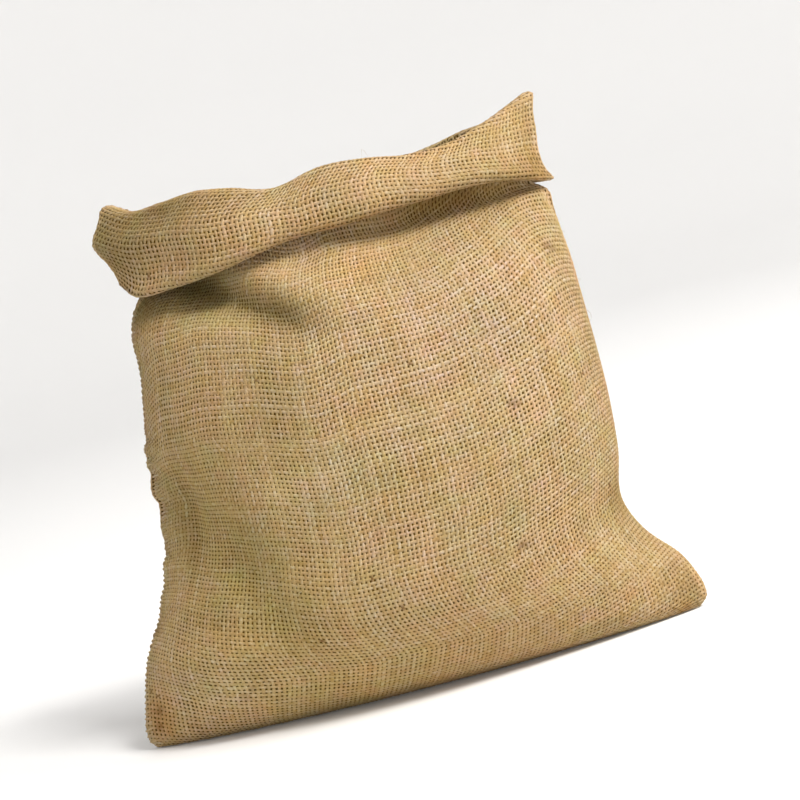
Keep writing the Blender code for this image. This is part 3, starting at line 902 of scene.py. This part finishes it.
def weave(settings):
    """Where the yarns cross, with their drift, and the random numbers to go on with.

    The rows are the seam at the bottom, the crosswise yarns and the cut edge, and the columns are
    the side seam, the front's lengthwise yarns, the folded side and the back's.
    """
    random = np.random.default_rng(settings.seed)
    parts = 2 * settings.panel_yarns
    rows = slide_columns(cloth_rows(parts))
    shares = (np.arange(settings.picks) + 0.5) / settings.picks
    shares = np.concatenate([[0.0], shares, [1.0]])
    cloth = cloth_at(rows, shares, LOWERED)
    front, back = np.arange(1, parts, 2), np.arange(parts + 1, 2 * parts, 2)
    columns = np.concatenate([[0], front, [parts], back])
    cloth = Cloth(*(axis[:, columns] for axis in cloth))
    levels, beside = cloth.place.shape[:2]
    across = drift(random, (levels, beside), SIDEWAYS) * TOGETHER
    across += waves(random, beside, levels, SIDEWAYS.wave).T * ALONE
    up = drift(random, (levels, beside), UPWARDS) * TOGETHER
    up += waves(random, levels, beside, UPWARDS.wave) * ALONE
    up[[0, -1]] = 0.0
    place = cloth.place + cloth.across * across[..., None] + cloth.up * up[..., None]
    return cloth._replace(place=place), random


def over_under(picks, yarns):
    """1 where the lengthwise yarn is on top, -1 where the crosswise one is and 0 where none cross."""
    pick, yarn = np.meshgrid(np.arange(picks), np.arange(2 * yarns), indexing="ij")
    sign = 1.0 - 2.0 * ((pick + yarn) % 2)
    table = np.zeros((picks + 2, 2 * yarns + 2))
    table[1:-1, 1 : yarns + 1] = sign[:, :yarns]
    table[1:-1, yarns + 2 :] = sign[:, yarns:]
    return table


def uneven(random, shape, amounts):
    """A number for each crossing of each yarn that varies as the amounts say."""
    values = amounts.middle + amounts.by_yarn * random.standard_normal(shape[0])[:, None]
    values = values + amounts.along * waves(random, *shape, amounts.wave)
    if amounts.by_crossing:
        values = values + amounts.by_crossing * random.standard_normal(shape)
    return values


def slubs(random, shape):
    """How much thicker each crossing of each yarn is for the yarn's slubs."""
    lines, stations = shape
    thicker = np.zeros(shape)
    for _ in range(int(lines * SLUBS)):
        line, start = random.integers(lines), random.integers(stations)
        length = random.integers(*SLUB_LENGTHS)
        swell = np.sin(np.linspace(0, np.pi, length)) * random.uniform(*SLUB_SWELLS)
        swell = swell[: stations - start]
        span = slice(start, start + len(swell))
        thicker[line, span] = np.maximum(thicker[line, span], swell)
    return thicker


def lay_yarns(name, cloth, sign, settings, random, lengthwise):
    """One set of yarns. The arrays run line by line, station by station."""
    side = -cloth.across if lengthwise else cloth.up
    thick = uneven(random, sign.shape, THICKNESS)
    tone = uneven(random, sign.shape, TONE)
    thick = np.clip(thick + slubs(random, sign.shape), *THICKNESS_LIMITS)
    pitch = np.linalg.norm(np.roll(cloth.place, -1, axis=0) - cloth.place, axis=-1)
    room = np.clip(pitch / np.median(pitch), *ROOM_LIMITS) ** ROOM_POWER
    width = settings.yarn_width * thick * room
    height = settings.yarn_height * np.clip(thick, *HEIGHT_LIMITS)
    rise = sign if lengthwise else -sign
    centre = cloth.place + cloth.out * (rise * settings.crimp)[..., None]
    piece = add_tubes(name, centre, side, cloth.out, width, height, closed=not lengthwise, flatness=FLATNESS)
    # The crown paints shade: it is 1 where a yarn passes over on the side facing out, and less on its sides
    # and where it dips under.
    beside = np.abs(rise) / 2
    crown = np.stack([beside, (1 + rise) / 2, beside, (1 - rise) / 2], axis=2)
    set_numbers(piece, "crown", crown)
    set_numbers(piece, "tone", np.repeat(tone[..., None], YARN_SIDES, axis=2))
    tint = tint_at(cloth.place, cloth.level)
    tint[random.random(sign.shape) < SPECKS] *= TINTS["soil"]
    set_tint(piece, np.repeat(tint[:, :, None], YARN_SIDES, axis=2))
    return piece


def node(tree, kind, **settings):
    """Add a shader node with these settings."""
    made = tree.nodes.new(kind)
    for name, value in settings.items():
        setattr(made, name, value)
    return made


def new_material(name):
    """A material, its tree of nodes and its surface."""
    material = bpy.data.materials.new(name)
    material.use_nodes = True
    return material, material.node_tree, material.node_tree.nodes["Principled BSDF"]


def add_noise(tree, place, noise):
    """Noise of a scale and detail, which keeps its place on the piece."""
    made = node(tree, "ShaderNodeTexNoise")
    made.inputs["Scale"].default_value, made.inputs["Detail"].default_value = noise
    tree.links.new(place.outputs["Object"], made.inputs["Vector"])
    return made


def add_ramp(tree, factor, stops, colours):
    """The colour at a factor, from colours that stand at these stops."""
    ramp = node(tree, "ShaderNodeValToRGB")
    elements = ramp.color_ramp.elements
    for element, stop, colour in zip(elements, (stops[0], stops[-1]), (colours[0], colours[-1])):
        element.position = stop
        element.color = colour
    for stop, colour in zip(stops[1:-1], colours[1:-1]):
        elements.new(stop).color = colour
    tree.links.new(factor, ramp.inputs["Fac"])
    return ramp.outputs["Color"]


def jute_material(settings):
    """Jute yarn: its own tone, fine fibres along it, broad uneven colour, and the marks' stains and painted
    shade, with painted shade on its sides.
    """
    material, tree, surface = new_material("jute yarn")
    link = tree.links.new
    surface.inputs["Specular IOR Level"].default_value = YARN_SPECULAR
    place = node(tree, "ShaderNodeTexCoord")
    tone = node(tree, "ShaderNodeAttribute", attribute_name="tone")
    crown = node(tree, "ShaderNodeAttribute", attribute_name="crown")
    tint = node(tree, "ShaderNodeAttribute", attribute_name="tint")
    fine = add_noise(tree, place, FINE_NOISE).outputs["Fac"]
    patches = add_noise(tree, place, CAST_NOISE).outputs["Fac"]
    flecks = add_noise(tree, place, FLECK_NOISE).outputs["Color"]
    shift = node(tree, "ShaderNodeMath", operation="SUBTRACT")
    shift.inputs[1].default_value = FINE_SHARE / 2
    link(tone.outputs["Fac"], shift.inputs[0])
    paleness = node(tree, "ShaderNodeMath", operation="MULTIPLY_ADD")
    paleness.inputs[1].default_value = FINE_SHARE
    link(fine, paleness.inputs[0])
    link(shift.outputs[0], paleness.inputs[2])
    yarns = (settings.dull_yarn, settings.plain_yarn, settings.pale_yarn)
    colour = add_ramp(tree, paleness.outputs[0], YARN_STOPS, yarns)
    # Painted shade on the yarns' sides and dips, read from the crown.
    shade = node(tree, "ShaderNodeMix", data_type="RGBA")
    shade.inputs["A"].default_value = settings.side_shade
    shade.inputs["B"].default_value = WHITE
    link(crown.outputs["Fac"], shade.inputs["Factor"])
    cast = add_ramp(tree, patches, CAST_STOPS, (settings.green_cast, settings.warm_cast))
    fleck = node(tree, "ShaderNodeVectorMath", operation="MULTIPLY_ADD")
    fleck.inputs[1].default_value = settings.fleck
    fleck.inputs[2].default_value = [1 - share / 2 for share in settings.fleck]
    link(flecks, fleck.inputs[0])
    for factor in (shade.outputs["Result"], cast, fleck.outputs["Vector"], tint.outputs["Color"]):
        mix = node(tree, "ShaderNodeMix", data_type="RGBA", blend_type="MULTIPLY")
        mix.inputs["Factor"].default_value = 1.0
        link(colour, mix.inputs["A"])
        link(factor, mix.inputs["B"])
        colour = mix.outputs["Result"]
    link(colour, surface.inputs["Base Color"])
    rough = node(tree, "ShaderNodeMapRange")
    rough.inputs["To Min"].default_value, rough.inputs["To Max"].default_value = YARN_ROUGHNESS
    link(fine, rough.inputs["Value"])
    link(rough.outputs["Result"], surface.inputs["Roughness"])
    bump = node(tree, "ShaderNodeBump")
    bump.inputs["Strength"].default_value = YARN_BUMP
    bump.inputs["Distance"].default_value = YARN_BUMP_DEPTH
    link(fine, bump.inputs["Height"])
    link(bump.outputs["Normal"], surface.inputs["Normal"])
    return material


def shade_sheet_material(settings):
    """A dark sheet of painted shade, seen through the gaps between the yarns."""
    material, tree, surface = new_material("jute ground")
    surface.inputs["Roughness"].default_value = SHADE_SHEET_ROUGHNESS
    surface.inputs["Specular IOR Level"].default_value = SHADE_SHEET_SPECULAR
    noise = add_noise(tree, node(tree, "ShaderNodeTexCoord"), SHADE_SHEET_NOISE)
    shades = [[shade * part for part in settings.shade_sheet[:3]] + [1.0] for shade in SHADE_SHEET_LEVELS]
    colour = add_ramp(tree, noise.outputs["Fac"], SHADE_SHEET_STOPS, shades)
    tree.links.new(colour, surface.inputs["Base Color"])
    return material


class BAG_OT_weave(bpy.types.Operator):
    """Lay the yarns of the cloth and the dark sheet of painted shade between them"""

    bl_idname = "bag.weave"
    bl_label = "Weave the cloth"

    def execute(self, context):
        settings = context.scene.bag_cloth
        cloth, random = weave(settings)
        sign = over_under(settings.picks, settings.panel_yarns)
        jute = jute_material(settings)
        edge = settings.panel_yarns + 1
        for name, span in (("front", slice(1, edge)), ("back", slice(edge + 1, None))):
            lines = Cloth(*(np.swapaxes(axis[:, span], 0, 1) for axis in cloth))
            piece = lay_yarns(f"warp_{name}", lines, sign[:, span].T, settings, random, True)
            finish_piece(piece, jute)
        half = settings.picks // 2 + 1
        for name, span in (("lower", slice(1, half)), ("upper", slice(half, -1))):
            lines = Cloth(*(axis[span] for axis in cloth))
            piece = lay_yarns(f"weft_{name}", lines, sign[span], settings, random, False)
            finish_piece(piece, jute)
        # A dark sheet at the cloth's middle: painted shade, seen through the gaps of the weave.
        levels, beside = cloth.place.shape[:2]
        faces = tube_faces(1, levels, beside, False)[0][: (levels - 1) * beside]
        shade_sheet = add_mesh("cloth_ground", cloth.place.reshape(-1, 3), faces)
        solidify = shade_sheet.modifiers.new("thickness", "SOLIDIFY")
        solidify.thickness = settings.shade_sheet_thickness
        solidify.offset = 0.0
        bpy.context.view_layer.objects.active = shade_sheet
        bpy.ops.object.modifier_apply(modifier=solidify.name)
        finish_piece(shade_sheet, shade_sheet_material(settings))
        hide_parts("bag_cloth")
        return {"FINISHED"}


class BAG_OT_sew(bpy.types.Operator):
    """Whip the side seam's edge with thread"""

    bl_idname = "bag.sew"
    bl_label = "Sew the side seam"

    def execute(self, context):
        settings = context.scene.bag_sewing
        random = np.random.default_rng(settings.seed)
        cloth = cloth_by_millimetre(context.scene.bag_cloth)
        edge = cloth.place[:, 0]
        length = np.concatenate([[0], np.cumsum(np.linalg.norm(np.diff(edge, axis=0), axis=1))])
        top = length[np.argmax(edge[:, 2] > SEAM_TOP)]
        count = int((top - SEAM_FOOT) / settings.pitch)
        stitch = SEAM_FOOT + (np.arange(count) + 0.5) * settings.pitch
        stitch = stitch + random.normal(0, STITCH_STRAY, count)
        inward = np.array(STITCH_IN)
        reach = settings.reach * random.uniform(*STITCH_REACHES, count)[:, None]
        slant = settings.slant * random.uniform(*STITCH_SLANTS, count)[:, None]
        climb = np.where(inward > 0, inward, STITCH_BACK * inward) * slant
        row = np.interp(stitch[:, None] + climb, length, np.arange(len(length)))
        girth = np.linalg.norm(cloth.place[:, 1] - cloth.place[:, 0], axis=1)
        column = inward * reach / girth[np.round(row).astype(int)]
        place, out, level = on_cloth(cloth, row, column)
        tone = np.repeat(random.normal(*THREAD_TONE, count)[:, None], len(inward), axis=1)
        width = settings.thread * random.uniform(*THREAD_WIDTHS, count)[:, None] + np.zeros(row.shape)
        path = place + out * (np.array(STITCH_OFF) * settings.lift)[:, None]
        threads = Threads(path, out, level, width, width * THREAD_HEIGHT, tone)
        piece = add_threads("side_seam", threads, THREAD_CROWN)
        finish_piece(piece, jute_material(context.scene.bag_cloth))
        return {"FINISHED"}


class BAG_OT_fray(bpy.types.Operator):
    """Scatter loose fibres over the cloth's outside"""

    bl_idname = "bag.fray"
    bl_label = "Raise the loose fibres"

    def execute(self, context):
        settings = context.scene.bag_sewing
        random = np.random.default_rng(settings.seed + 1)
        cloth = cloth_by_millimetre(context.scene.bag_cloth)
        levels, beside = cloth.place.shape[:2]
        count = settings.fibres
        along = np.linspace(0, 1, FIBRE_STATIONS)
        start_row = random.uniform(*FIBRE_STARTS, count)[:, None] * (levels - 1)
        start_column = random.uniform(0, beside, count)[:, None]
        heading = random.uniform(0, 2 * np.pi, count)[:, None]
        heading = heading + random.normal(0, FIBRE_TURN, count)[:, None] * along
        step = random.uniform(*FIBRE_LENGTHS, count)[:, None] / (FIBRE_STATIONS - 1)
        row = np.clip(start_row + np.cumsum(np.sin(heading) * step, axis=1), 1, levels - 3)
        column = start_column + np.cumsum(np.cos(heading) * step, axis=1) * beside * MM / CLOTH_FLAT[0]
        place, out, level = on_cloth(cloth, row, column)
        out *= np.sign(np.sum(out[..., :2] * place[..., :2], axis=-1))[..., None]
        high = random.gamma(*FIBRE_HEIGHTS, count)[:, None] * MM
        free = random.random(count)[:, None] < FIBRE_FREE
        lift = FIBRE_FOOT + high * np.where(free, along, np.sin(np.pi * along))
        tone = np.repeat(random.normal(*FIBRE_TONE, count)[:, None], FIBRE_STATIONS, axis=1)
        width = settings.fibre_width * random.uniform(*FIBRE_WIDTHS, count)[:, None]
        width = width * (FIBRE_TAPER[0] - FIBRE_TAPER[1] * along)
        threads = Threads(place + out * lift[..., None], out, level, width, width, tone)
        piece = add_threads("loose_fibres", threads, FIBRE_CROWN)
        finish_piece(piece, jute_material(context.scene.bag_cloth))
        return {"FINISHED"}


def add_lamp(lamp, power):
    """A soft square light, turned to the lit place."""
    data = bpy.data.lights.new(lamp.name, "AREA")
    data.energy = power
    data.size = lamp.size
    data.color = lamp.colour
    light = bpy.data.objects.new(lamp.name, data)
    light.location = lamp.place
    light.rotation_euler = (Vector(LIT_PLACE) - Vector(lamp.place)).to_track_quat("-Z", "Y").to_euler()
    bpy.context.scene.collection.objects.link(light)


def add_floor(radius, glow):
    """A pale floor that curves up to a far wall all round."""
    bpy.ops.object.select_all(action="DESELECT")
    bpy.ops.mesh.primitive_circle_add(vertices=FLOOR_SIDES, radius=radius, fill_type="NGON")
    floor = bpy.context.active_object
    floor.name = "floor"
    bpy.ops.object.mode_set(mode="EDIT")
    for outward, upward in FLOOR_RINGS:
        bpy.ops.mesh.extrude_region_move()
        bpy.ops.transform.resize(value=(outward, outward, 1.0))
        bpy.ops.transform.translate(value=(0, 0, upward))
    bpy.ops.object.mode_set(mode="OBJECT")
    floor.data.shade_smooth()
    material, _, surface = new_material("floor")
    surface.inputs["Base Color"].default_value = FLOOR_COLOUR
    surface.inputs["Roughness"].default_value = FLOOR_ROUGHNESS
    surface.inputs["Emission Color"].default_value = WHITE
    surface.inputs["Emission Strength"].default_value = glow
    floor.data.materials.append(material)


def add_sky(strength):
    """Even white light from all round."""
    world = bpy.data.worlds.new("sky")
    world.use_nodes = True
    background = world.node_tree.nodes["Background"]
    background.inputs["Color"].default_value = WHITE
    background.inputs["Strength"].default_value = strength
    bpy.context.scene.world = world


def add_camera():
    """The camera in front of the bag, a little above its aim and rolled to one side."""
    elevation, roll = np.radians(CAMERA_ELEVATION), np.radians(CAMERA_ROLL)
    forward = Vector((0.0, np.cos(elevation), -np.sin(elevation)))
    right = Vector((1.0, 0.0, 0.0))
    above = right.cross(forward)
    turned_right = right * np.cos(roll) - above * np.sin(roll)
    turned_up = right * np.sin(roll) + above * np.cos(roll)
    data = bpy.data.cameras.new("camera")
    data.lens = CAMERA_LENS
    data.sensor_width = CAMERA_SENSOR
    camera = bpy.data.objects.new("camera", data)
    turn = Matrix((turned_right, turned_up, -forward)).transposed()
    camera.matrix_world = Matrix.Translation(Vector(CAMERA_AIM) - forward * CAMERA_DISTANCE) @ turn.to_4x4()
    bpy.context.scene.collection.objects.link(camera)
    bpy.context.scene.camera = camera


class BAG_OT_stage(bpy.types.Operator):
    """Set the floor, the lights and the camera"""

    bl_idname = "bag.stage"
    bl_label = "Set the stage"

    def execute(self, context):
        settings = context.scene.bag_stage
        add_floor(settings.floor_radius, settings.floor_glow)
        add_lamp(KEY_LAMP, settings.key_power)
        add_lamp(SIDE_LAMP, settings.side_power)
        add_sky(settings.sky_strength)
        context.scene.view_settings.view_transform = "Standard"
        add_camera()
        return {"FINISHED"}


class VIEW3D_PT_burlap_bag(bpy.types.Panel):
    """The bag's sizes, colours and steps"""

    bl_label = "Burlap Bag"
    bl_space_type = "VIEW_3D"
    bl_region_type = "UI"
    bl_category = "Burlap Bag"

    def draw(self, context):
        for settings in (context.scene.bag_cloth, context.scene.bag_sewing, context.scene.bag_stage):
            box = self.layout.box()
            for name in settings.__annotations__:
                box.prop(settings, name)
        for step in STEPS:
            self.layout.operator(step.bl_idname)


STEPS = (BAG_OT_weave, BAG_OT_sew, BAG_OT_fray, BAG_OT_stage)
CLASSES = (BagCloth, BagSewing, BagStage, *STEPS, VIEW3D_PT_burlap_bag)


def register():
    for item in CLASSES:
        bpy.utils.register_class(item)
    bpy.types.Scene.bag_cloth = bpy.props.PointerProperty(type=BagCloth)
    bpy.types.Scene.bag_sewing = bpy.props.PointerProperty(type=BagSewing)
    bpy.types.Scene.bag_stage = bpy.props.PointerProperty(type=BagStage)


def unregister():
    del bpy.types.Scene.bag_stage
    del bpy.types.Scene.bag_sewing
    del bpy.types.Scene.bag_cloth
    for item in reversed(CLASSES):
        bpy.utils.unregister_class(item)


def main():
    """Build every piece in order."""
    register()
    bpy.ops.bag.weave()
    bpy.ops.bag.sew()
    bpy.ops.bag.fray()
    bpy.ops.bag.stage()


if __name__ == "__main__":
    main()
